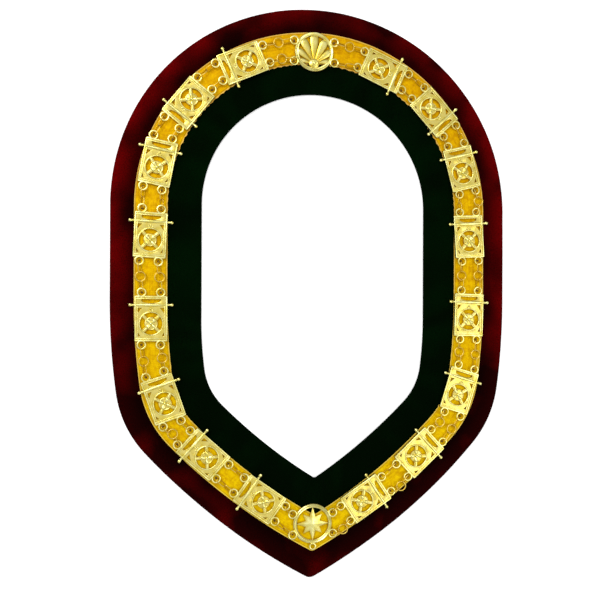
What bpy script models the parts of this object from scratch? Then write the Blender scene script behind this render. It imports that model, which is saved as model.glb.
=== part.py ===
"""Chain of office: a velvet collar with a ribbon, cast plates, two medallions and link strands.

The collar lies flat. +Y points to the nape, +X to the right of someone who looks down on it,
and the origin is at the middle of its underside.
"""

import math
from collections import namedtuple

import bmesh
import bpy
from mathutils import Matrix, Vector

MM = 0.001
DEG = math.pi / 180

# The collar's outline
COLLAR_LENGTH = 624 * MM
COLLAR_WIDTH = 439 * MM
SIDE_STRAIGHT = 100 * MM
BOW_RADIUS = 730 * MM
BOW_TURN = 7.8 * DEG
SHOULDER_RADIUS = 120 * MM
POINT_SIDE_RADIUS = 655 * MM
TIP_RADIUS = 10 * MM
TIP_DRIFT = -5 * MM

# The bands, from the outer edge inwards
RED_BAND = 24.7 * MM
RED_BAND_NAPE = 26 * MM
RED_BAND_POINT = 29.5 * MM
RIBBON_WIDTH = 34.9 * MM
GREEN_BAND = 36 * MM
GREEN_BAND_NAPE = 33 * MM
GREEN_BAND_POINT = 39.8 * MM

# The ribbon's own curves
RIBBON_STRAIGHT = 95 * MM
RIBBON_BOW_RADIUS = 706 * MM
RIBBON_BOW_TURN = 7.8 * DEG
RIBBON_SHOULDER_RADIUS = 114 * MM
RIBBON_SIDE_RADIUS = 619 * MM
RIBBON_TIP_RADIUS = 5 * MM

# The neck opening's own curves
OPENING_STRAIGHT = 122.5 * MM
OPENING_BOW_RADIUS = 424 * MM
OPENING_BOW_TURN = 7.3 * DEG
OPENING_SHOULDER_RADIUS = 68 * MM
OPENING_SIDE_RADIUS = 586 * MM
OPENING_TIP_RADIUS = 4 * MM

# Cloth
VELVET_THICKNESS = 3 * MM
RIBBON_THICKNESS = 1 * MM
CLEARANCE = 0.3 * MM

# One cast plate
PLATE_WIDTH = 34 * MM
PLATE_LENGTH = 48 * MM
PLATE_THICKNESS = 2.8 * MM
PLATE_BAR = 3.6 * MM
SLOT_WIDTH = 20 * MM
SLOT_HEIGHT = 4.2 * MM
ROD_LENGTH = 47 * MM
ROD_NECK = 2.6 * MM
KNOB_WIDTH = 3.8 * MM
ROUNDEL_RADIUS = 11.8 * MM
ROUNDEL_DROP = 5.2 * MM
ROSETTE_RADIUS = 6.6 * MM
ROSETTE_RISE = 1.1 * MM
SPOKE_WIDTH = 3.4 * MM

# The lugs that the strands hook into
LUG_REACH = 3.6 * MM
LUG_SPREAD = 19.8 * MM
LUG_RADIUS = 4.2 * MM
LUG_WIRE = 1.6 * MM
LUG_DEPTH = 1.2 * MM
LUG_ROOT = 1.2 * MM

# Medallions
MEDALLION_RADIUS = 21.5 * MM
MEDALLION_WALL = 4.1 * MM
MEDALLION_RIM_FALL = 0.9 * MM
MEDALLION_LUG_X = 22.2 * MM
MEDALLION_LUG_Y = 11.3 * MM
STAR_THICKNESS = 1.6 * MM
STAR_PEAK = 1.5 * MM
STAR_SHORT_RAY = 14.4 * MM
STAR_WAIST = 8.2 * MM
LEAF_WIDTH = 5.6 * MM
LEAF_RIDGE = 1.1 * MM
LEAF_THICKNESS = 1.5 * MM
LEAVES = 7
LEAF_WIDEST = 0.78
LEAF_CREST = 0.7
PALMETTE_BOSS = 4.6 * MM
BOSS_FOOT = 1.6
BOSS_SIDES = 8
JEWEL_LUG_RADIUS = 3.1 * MM
TOP_MEDALLION_DROP = 4.2 * MM
TOP_MEDALLION_ASIDE = -2.6 * MM
BOTTOM_MEDALLION_RISE = 10.4 * MM
BOTTOM_MEDALLION_ASIDE = -1.7 * MM

# Links
LINK_LENGTH = 11.6 * MM
SHORTEST_LINK = 9.8 * MM
LINK_WIDTH = 4.6 * MM
LINK_WIRE = 1.0 * MM
LINK_LEAN = 45 * DEG
LINK_PLAY = 1.3 * MM
MOST_BOW = 14 * DEG
RING_RADIUS = 5.05 * MM
RING_WIRE = 1.4 * MM

# How finely the curves are drawn
ARC_STEP = 10 * DEG
SIDE_STEPS = 3
LINK_STEPS = 10
RING_STEPS = 10
LUG_STEPS = 4
WIRE_SIDES = 5
RIM_STEPS = 18
MERGE = 0.01 * MM
FLAT = 0.5 * DEG

RIBBON_BASE = VELVET_THICKNESS + CLEARANCE
RIBBON_TOP = RIBBON_BASE + RIBBON_THICKNESS
PLATE_BASE = RIBBON_TOP + CLEARANCE
PLATE_TOP = PLATE_BASE + PLATE_THICKNESS
LINK_LEVEL = PLATE_TOP - LUG_DEPTH / 2

Edge = namedtuple(
    "Edge",
    "half_width crown_y straight bow_radius bow_turn shoulder_radius side_radius tip_y tip_radius",
)
Place = namedtuple("Place", "point angle")

# Where each plate lies: its share of the way from nape to point, how far it sits outwards as a
# share of the ribbon's width, and how it is turned on the ribbon, in degrees.
PlateRow = namedtuple("PlateRow", "side number share outwards turn head_up")
PLATES = (
    PlateRow("left", 1, 0.119, -0.04, -3, False),
    PlateRow("left", 2, 0.224, -0.01, 0, False),
    PlateRow("left", 3, 0.326, -0.03, 4, True),
    PlateRow("left", 4, 0.435, 0.01, -3, True),
    PlateRow("left", 5, 0.559, -0.01, -2, True),
    PlateRow("left", 6, 0.681, -0.11, 1, True),
    PlateRow("left", 7, 0.787, -0.03, 1, True),
    PlateRow("left", 8, 0.898, -0.03, 0, True),
    PlateRow("right", 1, 0.112, -0.10, 2, False),
    PlateRow("right", 2, 0.217, -0.04, 2, False),
    PlateRow("right", 3, 0.318, -0.06, -2, True),
    PlateRow("right", 4, 0.428, -0.02, 3, True),
    PlateRow("right", 5, 0.553, -0.01, 0, True),
    PlateRow("right", 6, 0.675, -0.08, -2, True),
    PlateRow("right", 7, 0.795, 0.03, 0, True),
    PlateRow("right", 8, 0.905, 0.00, -2, True),
)

# What each strand is made of, from the nape down: the strand nearer the outer edge and the one
# nearer the neck. A ringed strand has a flat round ring between its two links. Where it is slack
# it bows away from the ribbon's middle, and a tucked one is the same, bowed the other way.
StrandRow = namedtuple("StrandRow", "side gap outer inner")
STRANDS = (
    StrandRow("left", 1, "ringed", "tucked"),
    StrandRow("left", 2, "pair", "link"),
    StrandRow("left", 3, "pair", "link"),
    StrandRow("left", 4, "pair", "pair"),
    StrandRow("left", 5, "ringed", "ringed"),
    StrandRow("left", 6, "ringed", "tucked"),
    StrandRow("left", 7, "tucked", "link"),
    StrandRow("left", 8, "pair", "pair"),
    StrandRow("left", 9, "pair", "link"),
    StrandRow("right", 1, "ringed", "pair"),
    StrandRow("right", 2, "pair", "link"),
    StrandRow("right", 3, "pair", "link"),
    StrandRow("right", 4, "ringed", "pair"),
    StrandRow("right", 5, "ringed", "ringed"),
    StrandRow("right", 6, "ringed", "tucked"),
    StrandRow("right", 7, "ringed", "tucked"),
    StrandRow("right", 8, "ringed", "pair"),
    StrandRow("right", 9, "ringed", "link"),
)
RINGED = ("ringed", "tucked")


def heading(angle):
    """A unit vector that starts towards +X and turns clockwise with the angle."""
    return Vector((math.cos(angle), -math.sin(angle)))


def outer_edge():
    """The velvet's outer edge."""
    half = COLLAR_WIDTH / 2
    return Edge(half, COLLAR_LENGTH / 2 - half, SIDE_STRAIGHT, BOW_RADIUS, BOW_TURN,
                SHOULDER_RADIUS, POINT_SIDE_RADIUS, -COLLAR_LENGTH / 2, TIP_RADIUS)


def edge_arcs(edge, inset=0.0):
    """The arcs of an edge's right half, moved inwards by inset, as centre, radius, start, end."""
    crown = Vector((0, edge.crown_y))
    bow = Vector((edge.half_width - edge.bow_radius, edge.crown_y - edge.straight))
    shoulder = bow + (edge.bow_radius - edge.shoulder_radius) * heading(edge.bow_turn)
    lead = edge.side_radius - edge.shoulder_radius
    reach = shoulder - Vector((0, edge.tip_y + edge.tip_radius))
    square = reach.length_squared + lead ** 2 - (edge.side_radius - edge.tip_radius) ** 2
    swing = max(-1, min(1, square / (2 * lead * reach.length)))
    meet = math.atan2(-reach.y, reach.x) + math.acos(swing)
    side = shoulder - lead * heading(meet)
    span = edge.side_radius - inset - edge.tip_radius
    tip = Vector((0, side.y - math.sqrt(max(span ** 2 - side.x ** 2, 0))))
    end = math.atan2(side.y - tip.y, tip.x - side.x)
    return (
        (crown, edge.half_width - inset, -math.pi / 2, 0),
        (bow, edge.bow_radius - inset, 0, edge.bow_turn),
        (shoulder, edge.shoulder_radius - inset, edge.bow_turn, meet),
        (side, edge.side_radius - inset, meet, end),
        (tip, edge.tip_radius, end, math.pi / 2),
    )


def half_edge(edge, inset=0.0, fineness=1):
    """Points down the right half of an edge, from the nape to the point."""
    points = []
    for number, (centre, radius, start, end) in enumerate(edge_arcs(edge, inset)):
        steps = max(1, round(fineness * (end - start) / ARC_STEP))
        if number == 3:
            steps = max(steps, SIDE_STEPS)
        for step in range(steps + 1):
            point = centre + radius * heading(start + (end - start) * step / steps)
            if not points or (point - points[-1]).length > CLEARANCE:
                points.append(point)
    return points


def tip_level(edge, inset=0.0):
    """The height on the page of an edge's lowest point."""
    return half_edge(edge, inset)[-1].y


def ribbon_edge():
    """The ribbon's outer edge, which keeps its distances from the velvet's."""
    outer = outer_edge()
    half = outer.half_width - RED_BAND
    crown_top = outer.crown_y + outer.half_width - RED_BAND_NAPE
    return Edge(half, crown_top - half, RIBBON_STRAIGHT, RIBBON_BOW_RADIUS, RIBBON_BOW_TURN,
                RIBBON_SHOULDER_RADIUS, RIBBON_SIDE_RADIUS, outer.tip_y + RED_BAND_POINT,
                RIBBON_TIP_RADIUS)


def opening_edge():
    """The neck opening's edge, which keeps its distances from the ribbon."""
    ribbon = ribbon_edge()
    half = ribbon.half_width - RIBBON_WIDTH - GREEN_BAND
    crown_top = ribbon.crown_y + ribbon.half_width - RIBBON_WIDTH - GREEN_BAND_NAPE
    tip_y = tip_level(ribbon, RIBBON_WIDTH) + GREEN_BAND_POINT
    return Edge(half, crown_top - half, OPENING_STRAIGHT, OPENING_BOW_RADIUS, OPENING_BOW_TURN,
                OPENING_SHOULDER_RADIUS, OPENING_SIDE_RADIUS, tip_y, OPENING_TIP_RADIUS)


def drift(point):
    """Carries a point sideways, as the collar's point hangs a little off its middle."""
    start = tip_level(opening_edge())
    share = (start - point.y) / (start + COLLAR_LENGTH / 2)
    return Vector((point.x + TIP_DRIFT * max(share, 0) ** 2, point.y))


def closed_edge(edge, inset=0.0):
    """A whole edge, both halves."""
    right = half_edge(edge, inset)
    left = [Vector((-point.x, point.y)) for point in reversed(right[1:-1])]
    return [drift(point) for point in right + left]


def ribbon_path():
    """The middle of the ribbon down the right half, finely drawn."""
    return half_edge(ribbon_edge(), RIBBON_WIDTH / 2, fineness=8)


def on_ribbon(side, share, outwards, turn, head_up):
    """Where a plate lies, and the direction of its head end."""
    path = ribbon_path()
    lengths = [(b - a).length for a, b in zip(path, path[1:])]
    rest = share * sum(lengths)
    for start, end, length in zip(path, path[1:], lengths):
        if rest <= length:
            break
        rest -= length
    forwards = (end - start).normalized()
    out = Vector((-forwards.y, forwards.x))
    point = start + forwards * rest + out * outwards * RIBBON_WIDTH
    head = -forwards if head_up else forwards
    if side == "left":
        point.x, head.x = -point.x, -head.x
    return Place(drift(point), math.atan2(head.y, head.x) - math.pi / 2 + turn * DEG)


def material(name, colour, roughness, metallic):
    """A plain finish."""
    made = bpy.data.materials.new(name)
    made.use_nodes = True
    shader = made.node_tree.nodes["Principled BSDF"]
    shader.inputs["Base Color"].default_value = (*colour, 1)
    shader.inputs["Roughness"].default_value = roughness
    shader.inputs["Metallic"].default_value = metallic
    made.diffuse_color = (*colour, 1)
    return made


def mesh_from(bm, name):
    """A mesh with its faces pointing outwards."""
    bmesh.ops.recalc_face_normals(bm, faces=bm.faces)
    mesh = bpy.data.meshes.new(name)
    bm.to_mesh(mesh)
    bm.free()
    return mesh


def show(name, mesh, finish, place=Matrix.Identity(4)):
    """A named object in the scene."""
    thing = bpy.data.objects.new(name, mesh)
    bpy.context.scene.collection.objects.link(thing)
    thing.matrix_world = place
    if not mesh.materials:
        mesh.materials.append(finish)
    return thing


def union(name, meshes):
    """One mesh fused from several that overlap."""
    base = bpy.data.objects.new(name, meshes[0])
    bpy.context.scene.collection.objects.link(base)
    for other in meshes[1:]:
        tool = bpy.data.objects.new(name, other)
        bpy.context.scene.collection.objects.link(tool)
        cut = base.modifiers.new(name, "BOOLEAN")
        cut.operation = "UNION"
        cut.object = tool
        bpy.context.view_layer.update()
        fused = bpy.data.meshes.new_from_object(base.evaluated_get(
            bpy.context.evaluated_depsgraph_get()))
        base.modifiers.clear()
        base.data = fused
        bpy.data.objects.remove(tool)
    whole = bmesh.new()
    whole.from_mesh(base.data)
    bpy.data.objects.remove(base)
    bmesh.ops.remove_doubles(whole, verts=whole.verts, dist=MERGE)
    bmesh.ops.dissolve_degenerate(whole, dist=MERGE, edges=whole.edges)
    bmesh.ops.dissolve_limit(whole, angle_limit=FLAT, verts=whole.verts, edges=whole.edges)
    bmesh.ops.triangulate(whole, faces=whole.faces)
    return mesh_from(whole, name)


def pierced_sheet(outline, holes, low, high):
    """A flat sheet with holes cut through it."""
    bm = bmesh.new()
    for loop in [outline, *holes]:
        verts = [bm.verts.new((point.x, point.y, low)) for point in loop]
        for first, second in zip(verts, verts[1:] + verts[:1]):
            bm.edges.new((first, second))
    bmesh.ops.triangle_fill(bm, edges=bm.edges, use_beauty=True)
    made = bmesh.ops.extrude_face_region(bm, geom=bm.faces)
    risen = [item for item in made["geom"] if isinstance(item, bmesh.types.BMVert)]
    bmesh.ops.translate(bm, verts=risen, vec=(0, 0, high - low))
    return bm


def rectangle(width, height, middle_y=0.0):
    """The corners of an upright rectangle."""
    corners = ((-1, -1), (1, -1), (1, 1), (-1, 1))
    return [Vector((x * width / 2, middle_y + y * height / 2)) for x, y in corners]


def wire_loop(bm, radius, wire, steps):
    """A round ring of wire, lying flat about the origin, with a flat of it facing inwards."""
    turn = Matrix.Rotation(math.pi / 2, 4, "X")
    circle = bmesh.ops.create_circle(bm, segments=WIRE_SIDES, radius=wire / 2, matrix=turn)
    verts = circle["verts"]
    edges = list({edge for vert in verts for edge in vert.link_edges})
    flat = Matrix.Rotation(math.pi / 2, 3, "Y")
    bmesh.ops.rotate(bm, verts=verts, matrix=flat)
    bmesh.ops.translate(bm, verts=verts, vec=(radius, 0, 0))
    bmesh.ops.rotate(bm, verts=verts, matrix=Matrix.Rotation(math.pi / steps, 3, "Z"))
    before = set(bm.verts)
    bmesh.ops.spin(bm, geom=verts + edges, cent=(0, 0, 0), axis=(0, 0, 1), angle=math.tau,
                   steps=steps, use_merge=True)
    return verts + [vert for vert in bm.verts if vert not in before]


def lug(radius, leg):
    """A cast loop on two legs. Its eye is at the origin and it reaches towards +Y."""
    bm = bmesh.new()
    turn = Matrix.Rotation(math.pi / 2, 4, "X")
    section = bmesh.ops.create_circle(bm, segments=4, radius=math.sqrt(0.5), matrix=turn)["verts"]
    bmesh.ops.rotate(bm, verts=section, matrix=Matrix.Rotation(math.pi / 4, 3, "Y"))
    bmesh.ops.scale(bm, verts=section, vec=(LUG_WIRE, 1, LUG_DEPTH))
    bmesh.ops.translate(bm, verts=section, vec=(radius, 0, 0))
    made = bmesh.ops.spin(bm, geom=bm.verts[:] + bm.edges[:], cent=(0, 0, 0), axis=(0, 0, 1),
                          angle=math.pi, steps=LUG_STEPS)
    far = [item for item in made["geom_last"] if isinstance(item, bmesh.types.BMEdge)]
    near = [edge for edge in bm.edges if all(vert in section for vert in edge.verts)]
    for end in (near, far):
        made = bmesh.ops.extrude_edge_only(bm, edges=end)["geom"]
        verts = [item for item in made if isinstance(item, bmesh.types.BMVert)]
        bmesh.ops.translate(bm, verts=verts, vec=(0, -leg, 0))
    bmesh.ops.holes_fill(bm, edges=bm.edges, sides=4)
    return bm


def lug_mesh(name, point, angle, radius=LUG_RADIUS, leg=LUG_REACH + LUG_ROOT):
    """A lug whose eye is at point, turned by angle from +Y."""
    bm = lug(radius, leg)
    place = Matrix.Translation((point.x, point.y, LINK_LEVEL)) @ Matrix.Rotation(angle, 4, "Z")
    bmesh.ops.transform(bm, verts=bm.verts, matrix=place)
    return mesh_from(bm, name)


def roundel_gaps():
    """The four gaps round the plate's rosette, which stands on slanting spokes."""
    middle = Vector((0, -ROUNDEL_DROP))
    half = SPOKE_WIDTH / 2
    outer = math.pi / 4 - math.asin(half / ROUNDEL_RADIUS)
    inner = math.pi / 4 - math.asin(half / ROSETTE_RADIUS)
    corners = (
        (ROUNDEL_RADIUS, -outer), (ROUNDEL_RADIUS, outer),
        (ROSETTE_RADIUS, inner), (ROSETTE_RADIUS, -inner),
    )
    turns = [number * math.pi / 2 for number in range(4)]
    return [[middle + radius * heading(turn + angle) for radius, angle in corners]
            for turn in turns]


def plate_outline():
    """The frame's outline, with the ends of the cross rod standing out at its sides."""
    side = PLATE_WIDTH / 2
    end = PLATE_LENGTH / 2
    rod = slot_middle() - SLOT_HEIGHT / 2 - PLATE_BAR / 2
    right = [
        Vector((side, -end)), Vector((side, rod - ROD_NECK / 2)),
        Vector((ROD_LENGTH / 2 - KNOB_WIDTH / 2, rod - KNOB_WIDTH / 2)),
        Vector((ROD_LENGTH / 2, rod)),
        Vector((ROD_LENGTH / 2 - KNOB_WIDTH / 2, rod + KNOB_WIDTH / 2)),
        Vector((side, rod + ROD_NECK / 2)), Vector((side, end)),
    ]
    return right + [Vector((-point.x, point.y)) for point in reversed(right)]


def plate_lugs():
    """The eyes of a plate's four lugs, as name, point and turn."""
    across = LUG_SPREAD / 2
    along = PLATE_LENGTH / 2 + LUG_REACH
    return {
        ("head", -1): (Vector((-across, along)), 0),
        ("head", 1): (Vector((across, along)), 0),
        ("foot", -1): (Vector((-across, -along)), math.pi),
        ("foot", 1): (Vector((across, -along)), math.pi),
    }


def slot_middle():
    """How far up the plate its slot lies, just inside the head bar."""
    return PLATE_LENGTH / 2 - PLATE_BAR - SLOT_HEIGHT / 2


def plate_mesh():
    """One cast plate: frame with rod ends, slot, raised pierced rosette and four lugs."""
    slot = rectangle(SLOT_WIDTH, SLOT_HEIGHT, slot_middle())
    frame = pierced_sheet(plate_outline(), [slot, *roundel_gaps()], PLATE_BASE, PLATE_TOP)
    middle = Vector((0, -ROUNDEL_DROP))
    for vert in frame.verts:
        near = (vert.co.xy - middle).length < (ROSETTE_RADIUS + ROUNDEL_RADIUS) / 2
        if near and vert.co.z > PLATE_BASE + PLATE_THICKNESS / 2:
            vert.co.z += ROSETTE_RISE
    lugs = [lug_mesh("lug", point, angle) for point, angle in plate_lugs().values()]
    return union("plate", [mesh_from(frame, "plate"), *lugs])


def medallion_ring():
    """The medallion's rim, its middle at the origin."""
    inner = MEDALLION_RADIUS - MEDALLION_WALL
    profile = (
        (inner, 0, PLATE_BASE), (MEDALLION_RADIUS, 0, PLATE_BASE),
        (MEDALLION_RADIUS, 0, PLATE_TOP - MEDALLION_RIM_FALL), (inner, 0, PLATE_TOP),
    )
    bm = bmesh.new()
    verts = [bm.verts.new(point) for point in profile]
    edges = [bm.edges.new(pair) for pair in zip(verts, verts[1:] + verts[:1])]
    bmesh.ops.spin(bm, geom=verts + edges, cent=(0, 0, 0), axis=(0, 0, 1), angle=math.tau,
                   steps=RIM_STEPS, use_merge=True)
    return mesh_from(bm, "rim")


def medallion_lugs():
    """The eyes of a medallion's four lugs, each with its side and its row."""
    return {
        (side, row): Vector((side * MEDALLION_LUG_X, row * MEDALLION_LUG_Y))
        for side in (-1, 1) for row in (-1, 1)
    }


def medallion_lug_meshes():
    """Lugs that reach out sideways from the rim."""
    meshes = []
    for (side, row), point in medallion_lugs().items():
        rim_x = math.sqrt(MEDALLION_RADIUS ** 2 - MEDALLION_LUG_Y ** 2)
        leg = MEDALLION_LUG_X - rim_x + LUG_ROOT
        meshes.append(lug_mesh("lug", point, -side * math.pi / 2, leg=leg))
    return meshes


def ridged(outline, low, high, peak, peak_rise):
    """A flat blade whose top rises to one point."""
    bm = pierced_sheet(outline, [], low, high)
    top = [face for face in bm.faces if face.calc_center_median().z > high - CLEARANCE]
    joined = bmesh.ops.dissolve_faces(bm, faces=top)["region"]
    made = bmesh.ops.poke(bm, faces=joined)
    made["verts"][0].co = (peak.x, peak.y, high + peak_rise)
    return bm


def star_mesh():
    """Eight rays in turn long and short. The long ones run into the rim."""
    rim = MEDALLION_RADIUS - MEDALLION_WALL / 2
    outline = []
    for number in range(16):
        radius = STAR_WAIST
        if number % 4 == 0:
            radius = rim
        elif number % 4 == 2:
            radius = STAR_SHORT_RAY
        outline.append(radius * heading(number * math.pi / 8))
    high = PLATE_BASE + STAR_THICKNESS
    return mesh_from(ridged(outline, PLATE_BASE, high, Vector((0, 0)), STAR_PEAK), "star")


def palmette_meshes():
    """Leaves that fan out from a boss near the rim's foot, each to the rim."""
    inner = MEDALLION_RADIUS - MEDALLION_WALL
    reach = MEDALLION_RADIUS - MEDALLION_WALL / 2
    root = Vector((0, -inner + PALMETTE_BOSS))
    boss = bmesh.new()
    at = Matrix.Translation((root.x, root.y, PLATE_BASE + PLATE_THICKNESS / 2))
    bmesh.ops.create_cone(boss, cap_ends=True, segments=BOSS_SIDES,
                          radius1=BOSS_FOOT * PALMETTE_BOSS, radius2=PALMETTE_BOSS / 2,
                          depth=PLATE_THICKNESS, matrix=at)
    meshes = [mesh_from(boss, "boss")]
    high = PLATE_BASE + LEAF_THICKNESS
    for number in range(LEAVES):
        out = heading(-(number + 0.5) * math.pi / LEAVES)
        along = -root.dot(out) + math.sqrt(root.dot(out) ** 2 + reach ** 2 - root.length_squared)
        across = Vector((-out.y, out.x)) * LEAF_WIDTH / 2
        tip = root + out * along
        widest = root + out * along * LEAF_WIDEST
        outline = [root, widest - across, tip, widest + across]
        leaf = ridged(outline, PLATE_BASE, high, root + out * along * LEAF_CREST, LEAF_RIDGE)
        meshes.append(mesh_from(leaf, "leaf"))
    return meshes


def top_medallion_mesh():
    """The medallion at the nape."""
    return union("medallion_top", [medallion_ring(), *palmette_meshes(), *medallion_lug_meshes()])


def jewel_lug():
    """The eye at the foot of the lowest medallion, as point and leg."""
    leg = JEWEL_LUG_RADIUS + LUG_ROOT
    return Vector((0, -MEDALLION_RADIUS - JEWEL_LUG_RADIUS)), leg


def bottom_medallion_mesh():
    """The medallion at the collar's point, with the eye that a jewel hangs from."""
    point, leg = jewel_lug()
    hanger = lug_mesh("lug", point, math.pi, JEWEL_LUG_RADIUS, leg)
    return union("medallion_bottom",
                 [medallion_ring(), star_mesh(), hanger, *medallion_lug_meshes()])


def medallion_places():
    """Where the two medallions lie."""
    path = ribbon_path()
    top = Vector((TOP_MEDALLION_ASIDE, path[0].y - TOP_MEDALLION_DROP))
    bottom = drift(Vector((BOTTOM_MEDALLION_ASIDE, path[-1].y + BOTTOM_MEDALLION_RISE)))
    return Place(top, 0), Place(bottom, 0)


def world_point(place, point):
    """A point of a plate or medallion, on the collar."""
    return place.point + Matrix.Rotation(place.angle, 2) @ point


def lug_chain(side):
    """The eyes down one side, as pairs to be joined: outer and inner row of each gap."""
    top, bottom = medallion_places()
    hand = 1 if side == "right" else -1
    eyes = medallion_lugs()
    rows = [row for row in PLATES if row.side == side]
    leave = {"outer": world_point(top, eyes[hand, 1]), "inner": world_point(top, eyes[hand, -1])}
    gaps = []
    for row in rows:
        place = on_ribbon(row.side, row.share, row.outwards, row.turn, row.head_up)
        local = plate_lugs()
        near, far = ("head", "foot") if row.head_up else ("foot", "head")
        outer = hand if row.head_up else -hand
        signs = {"outer": outer, "inner": -outer}
        arrive = {name: world_point(place, local[near, signs[name]][0]) for name in signs}
        gaps.append((leave, arrive))
        leave = {name: world_point(place, local[far, signs[name]][0]) for name in signs}
    arrive = {"outer": world_point(bottom, eyes[hand, -1]),
              "inner": world_point(bottom, eyes[hand, 1])}
    gaps.append((leave, arrive))
    return gaps


def lay(bm, verts, middle, angle, lean=0.0):
    """Puts a link or ring in its place on the collar."""
    place = (Matrix.Translation((middle.x, middle.y, LINK_LEVEL))
             @ Matrix.Rotation(angle, 4, "Z")
             @ Matrix.Rotation(lean, 4, "X"))
    bmesh.ops.transform(bm, verts=verts, matrix=place)


def oval_link(bm, start, end, lean):
    """An oval link between two points of its wire's middle, leaning about its length."""
    along = end - start
    verts = wire_loop(bm, LINK_WIDTH / 2, LINK_WIRE, LINK_STEPS)
    stretch = (along.length - LINK_WIDTH) / 2
    for vert in verts:
        vert.co.x += math.copysign(stretch, vert.co.x)
    lay(bm, verts, (start + end) / 2, math.atan2(along.y, along.x), lean)
    return verts


def round_ring(bm, middle, angle):
    """A round ring lying flat."""
    verts = wire_loop(bm, RING_RADIUS, RING_WIRE, RING_STEPS)
    lay(bm, verts, middle, angle)
    return verts


def solder(bm, first, second):
    """Joins two loops of wire where their inner flats face each other."""
    ones, others = ({face for vert in verts for face in vert.link_faces}
                    for verts in (first, second))
    pairs = ((one, other) for one in ones for other in others)
    pair = min(pairs, key=lambda both: (both[0].calc_center_median()
                                        - both[1].calc_center_median()).length)
    edges = [edge for face in pair for edge in face.edges]
    bmesh.ops.delete(bm, geom=list(pair), context="FACES_ONLY")
    bmesh.ops.bridge_loops(bm, edges=edges)


def strand_mesh(name, kind, start, end, bow_side):
    """A strand between two eyes. Its links are longer or shorter as the eyes lie apart, and it
    bows where they would be too short."""
    span = (end - start).length
    along = (end - start).normalized()
    angle = math.atan2(along.y, along.x)
    slack = LUG_RADIUS - LUG_WIRE / 2 - LINK_WIRE / 2 - LINK_PLAY
    links = 1 if kind == "link" else 2
    joint = 2 * RING_RADIUS - LINK_WIRE - RING_WIRE if kind in RINGED else -LINK_WIRE
    bow_side = -bow_side if kind == "tucked" else bow_side
    bowed = span / math.cos(MOST_BOW) if links > 1 else span
    most = links * LINK_LENGTH + (links - 1) * joint
    least = links * SHORTEST_LINK + (links - 1) * joint
    whole = max(min(most, bowed + 2 * slack), span - 2 * slack, least)
    length = (whole - (links - 1) * joint) / links
    ends = max(-slack, (span - whole) / 2)
    half = whole / 2 + ends
    bow = math.sqrt(max(half ** 2 - (span / 2) ** 2, 0))
    apex = (start + end) / 2 + Vector((-along.y, along.x)) * bow * bow_side

    def walk(distance):
        """A point on the strand's way from start over the apex to end."""
        if distance < half:
            return start.lerp(apex, distance / half)
        return apex.lerp(end, distance / half - 1)

    bm = bmesh.new()
    last = None
    for number in range(links):
        leave = ends + number * (length + joint)
        lean = LINK_LEAN if number % 2 else -LINK_LEAN
        link = oval_link(bm, walk(leave), walk(leave + length), lean)
        if last:
            solder(bm, last, link)
        last = link
        if kind in RINGED and number + 1 < links:
            last = round_ring(bm, walk(leave + length + joint / 2), angle)
            solder(bm, link, last)
    return mesh_from(bm, name)


def build():
    """Builds every node."""
    for thing in list(bpy.data.objects):
        bpy.data.objects.remove(thing)
    red = material("red_velvet", (0.05, 0.001, 0.001), 0.9, 0.0)
    green = material("green_velvet", (0.002, 0.008, 0.002), 0.9, 0.0)
    gold = material("gold_ribbon", (0.68, 0.40, 0.01), 0.45, 0.3)
    cast = material("gilt_casting", (0.85, 0.66, 0.20), 0.28, 1.0)
    wire = material("gilt_wire", (0.80, 0.58, 0.14), 0.3, 1.0)
    outer = closed_edge(outer_edge())
    opening = closed_edge(opening_edge())
    ribbon = ribbon_edge()
    seam_out, seam_in = (closed_edge(ribbon, RIBBON_WIDTH / 2 + shift)
                         for shift in (-CLEARANCE / 2, CLEARANCE / 2))
    show("velvet_outer", mesh_from(
        pierced_sheet(outer, [seam_out], 0, VELVET_THICKNESS), "velvet_outer"), red)
    show("velvet_inner", mesh_from(
        pierced_sheet(seam_in, [opening], 0, VELVET_THICKNESS), "velvet_inner"), green)
    show("gold_ribbon", mesh_from(
        pierced_sheet(closed_edge(ribbon), [closed_edge(ribbon, RIBBON_WIDTH)],
                      RIBBON_BASE, RIBBON_TOP), "gold_ribbon"), gold)
    casting = plate_mesh()
    for row in PLATES:
        place = on_ribbon(row.side, row.share, row.outwards, row.turn, row.head_up)
        show(f"plate_{row.side}_{row.number}", casting, cast, standing(place))
    top, bottom = medallion_places()
    show("medallion_top", top_medallion_mesh(), cast, standing(top))
    show("medallion_bottom", bottom_medallion_mesh(), cast, standing(bottom))
    eyes = {"left": lug_chain("left"), "right": lug_chain("right")}
    for row in STRANDS:
        leave, arrive = eyes[row.side][row.gap - 1]
        hand = 1 if row.side == "right" else -1
        for place, kind, out in (("outer", row.outer, hand), ("inner", row.inner, -hand)):
            name = f"chain_{row.side}_{row.gap}_{place}"
            show(name, strand_mesh(name, kind, leave[place], arrive[place], out), wire)


def standing(place):
    """A place on the collar as a matrix."""
    return (Matrix.Translation((place.point.x, place.point.y, 0))
            @ Matrix.Rotation(place.angle, 4, "Z"))


build()
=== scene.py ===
"""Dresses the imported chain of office: velvet collar, lame ribbon, gilt plates, medallions, links.

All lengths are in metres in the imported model's frame: +Y towards the nape, +Z up off the table.
"""

import math
from collections import namedtuple

import bmesh
import bpy
from mathutils import Matrix, Vector, noise


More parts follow.
